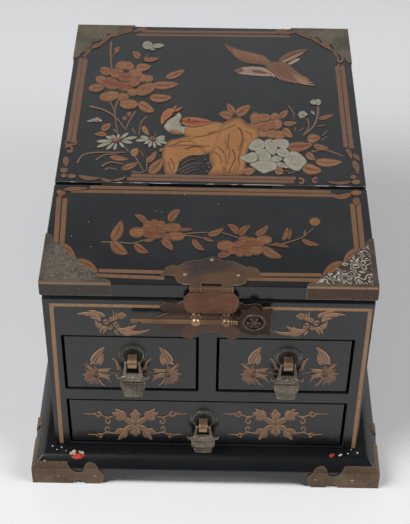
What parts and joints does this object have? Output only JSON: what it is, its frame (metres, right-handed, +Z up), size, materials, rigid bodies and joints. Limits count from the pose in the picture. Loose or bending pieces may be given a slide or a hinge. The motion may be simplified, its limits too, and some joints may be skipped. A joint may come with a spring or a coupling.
{
  "type": "travel dressing case",
  "caption": "Black lacquered travel dressing case on bracket feet, with a two-part hinged lid, mirror, drawers with hanging pulls, and a brass hasp with a sliding lock bar.",
  "frame": {"origin": "middle of the footprint, on the ground", "axes": "+Z up, +X to the right seen from the front, front with the drawers towards -Y"},
  "size_m": [0.2656, 0.3576, 0.1958],
  "materials": {
    "black_lacquer": "black lacquer over wood, satin gloss, with raised gold and coloured decoration",
    "bare_wood": "plain wood, unvarnished",
    "aged_brass": "aged sheet brass, brown patina with bright worn edges",
    "worn_brass": "brass kept bright by handling",
    "red_brass": "aged sheet brass with a reddish brown patina",
    "mirror_glass": "silvered glass"
  },
  "bodies": {
    "case": {"plinth": "black_lacquer", "foot_mount_front_left": "aged_brass", "foot_mount_front_right": "aged_brass", "foot_mount_rear_left": "aged_brass", "foot_mount_rear_right": "aged_brass", "case_floor": "bare_wood", "left_side": "black_lacquer", "right_side": "black_lacquer", "case_back": "black_lacquer", "front_frame": "black_lacquer", "dust_board": "bare_wood", "drawer_divider": "bare_wood", "tray_floor": "bare_wood", "lock_plate": "red_brass", "lock_eye_left": "worn_brass", "lock_eye_right": "worn_brass", "rear_hinge_left_case_leaf": "aged_brass", "rear_hinge_left_pin": "aged_brass", "rear_hinge_right_case_leaf": "aged_brass", "rear_hinge_right_pin": "aged_brass"},
    "rear_lid_panel": {"rear_lid": "black_lacquer", "rear_lid_bracket_left": "aged_brass", "rear_lid_bracket_right": "aged_brass", "rear_hinge_left_lid_leaf": "aged_brass", "rear_hinge_right_lid_leaf": "aged_brass", "mirror_frame": "black_lacquer", "mirror_glass": "mirror_glass", "mirror_backboard": "bare_wood", "seam_hinge_left_rear_leaf": "aged_brass", "seam_hinge_left_pin": "aged_brass", "seam_hinge_right_rear_leaf": "aged_brass", "seam_hinge_right_pin": "aged_brass"},
    "front_lid_panel": {"front_lid": "black_lacquer", "front_lid_bracket_left": "aged_brass", "front_lid_bracket_right": "aged_brass", "seam_hinge_left_front_leaf": "aged_brass", "seam_hinge_right_front_leaf": "aged_brass", "hasp_plate": "aged_brass", "hasp_pin": "aged_brass"},
    "hasp": {"hasp_leaf": "red_brass"},
    "sliding_bar": {"lock_bar": "worn_brass", "lock_bar_head": "red_brass"},
    "left_drawer": {"left_drawer_front": "black_lacquer", "left_drawer_box": "bare_wood", "left_drawer_bottom": "bare_wood", "left_drawer_rosette": "aged_brass", "left_drawer_staple": "worn_brass"},
    "left_pull": {"left_drawer_pull": "aged_brass"},
    "right_drawer": {"right_drawer_front": "black_lacquer", "right_drawer_box": "bare_wood", "right_drawer_bottom": "bare_wood", "right_drawer_rosette": "aged_brass", "right_drawer_staple": "worn_brass"},
    "right_pull": {"right_drawer_pull": "aged_brass"},
    "long_drawer": {"long_drawer_front": "black_lacquer", "long_drawer_box": "bare_wood", "long_drawer_bottom": "bare_wood", "long_drawer_rosette": "aged_brass", "long_drawer_staple": "worn_brass"},
    "long_pull": {"long_drawer_pull": "aged_brass"}
  },
  "joints": [
    {"name": "rear_lid_lift", "type": "hinge", "parent": "case", "child": "rear_lid_panel", "pos_m": [0, 0.1632, 0.1821], "axis": [-1, 0, 0], "range_deg": [0, 100]},
    {"name": "front_lid_fold", "type": "hinge", "parent": "rear_lid_panel", "child": "front_lid_panel", "pos_m": [0, -0.0535, 0.1932], "axis": [-1, 0, 0], "range_deg": [0, 100]},
    {"name": "hasp_swing", "type": "hinge", "parent": "front_lid_panel", "child": "hasp", "pos_m": [0.0018, -0.1631, 0.1932], "axis": [-1, 0, 0], "range_deg": [0, 150]},
    {"name": "lock_bar_slide", "type": "slide", "parent": "case", "child": "sliding_bar", "axis": [1, 0, 0], "range_m": [0, 0.06]},
    {"name": "left_drawer_slide", "type": "slide", "parent": "case", "child": "left_drawer", "axis": [0, -1, 0], "range_m": [0, 0.18]},
    {"name": "right_drawer_slide", "type": "slide", "parent": "case", "child": "right_drawer", "axis": [0, -1, 0], "range_m": [0, 0.18]},
    {"name": "long_drawer_slide", "type": "slide", "parent": "case", "child": "long_drawer", "axis": [0, -1, 0], "range_m": [0, 0.18]},
    {"name": "left_pull_swing", "type": "hinge", "parent": "left_drawer", "child": "left_pull", "pos_m": [-0.05345, -0.1665, 0.123], "axis": [-1, 0, 0], "range_deg": [0, 100]},
    {"name": "right_pull_swing", "type": "hinge", "parent": "right_drawer", "child": "right_pull", "pos_m": [0.05735, -0.1665, 0.123], "axis": [-1, 0, 0], "range_deg": [0, 100]},
    {"name": "long_pull_swing", "type": "hinge", "parent": "long_drawer", "child": "long_pull", "pos_m": [-0.0024, -0.1665, 0.05475], "axis": [-1, 0, 0], "range_deg": [0, 100]}
  ]
}
